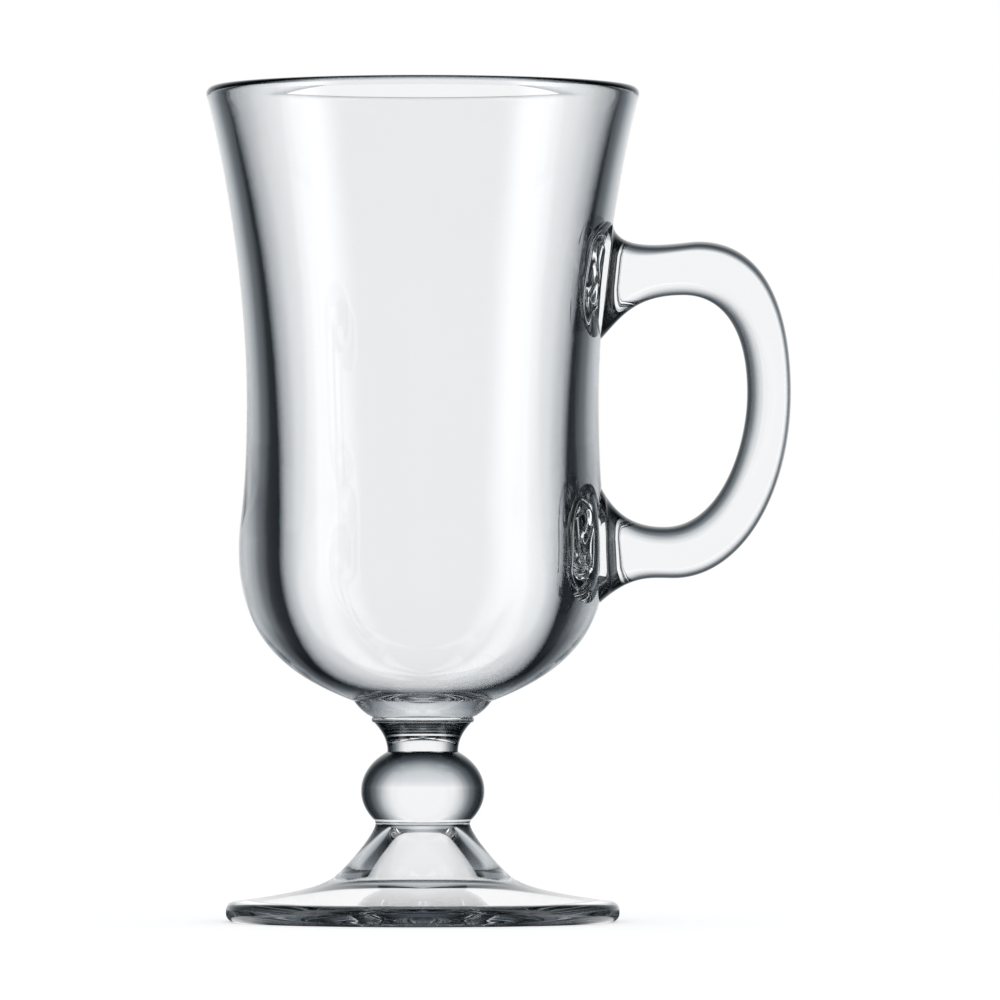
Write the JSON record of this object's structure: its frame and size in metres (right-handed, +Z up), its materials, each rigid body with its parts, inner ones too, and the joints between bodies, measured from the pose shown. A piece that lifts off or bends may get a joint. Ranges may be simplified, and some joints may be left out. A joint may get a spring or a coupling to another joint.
{
  "type": "irish coffee mug",
  "caption": "Footed clear glass mug: a thick waisted bowl flared to a rounded rim, on a knopped stem and hollow spreading foot, with an oval loop handle, for serving hot coffee drinks.",
  "frame": {"origin": "on the bowl's axis, at the plane of the ring that the foot stands on", "axes": "+Z up along the bowl's axis towards the rim, +X towards the handle, +Y across the handle's width"},
  "size_m": [0.1023, 0.0758, 0.146],
  "materials": {
    "clear_glass": "fire polished clear soda-lime glass"
  },
  "bodies": {
    "root": {"foot": "clear_glass", "knop": "clear_glass", "neck": "clear_glass", "merese": "clear_glass", "bowl": "clear_glass", "handle": "clear_glass"}
  },
  "joints": []
}
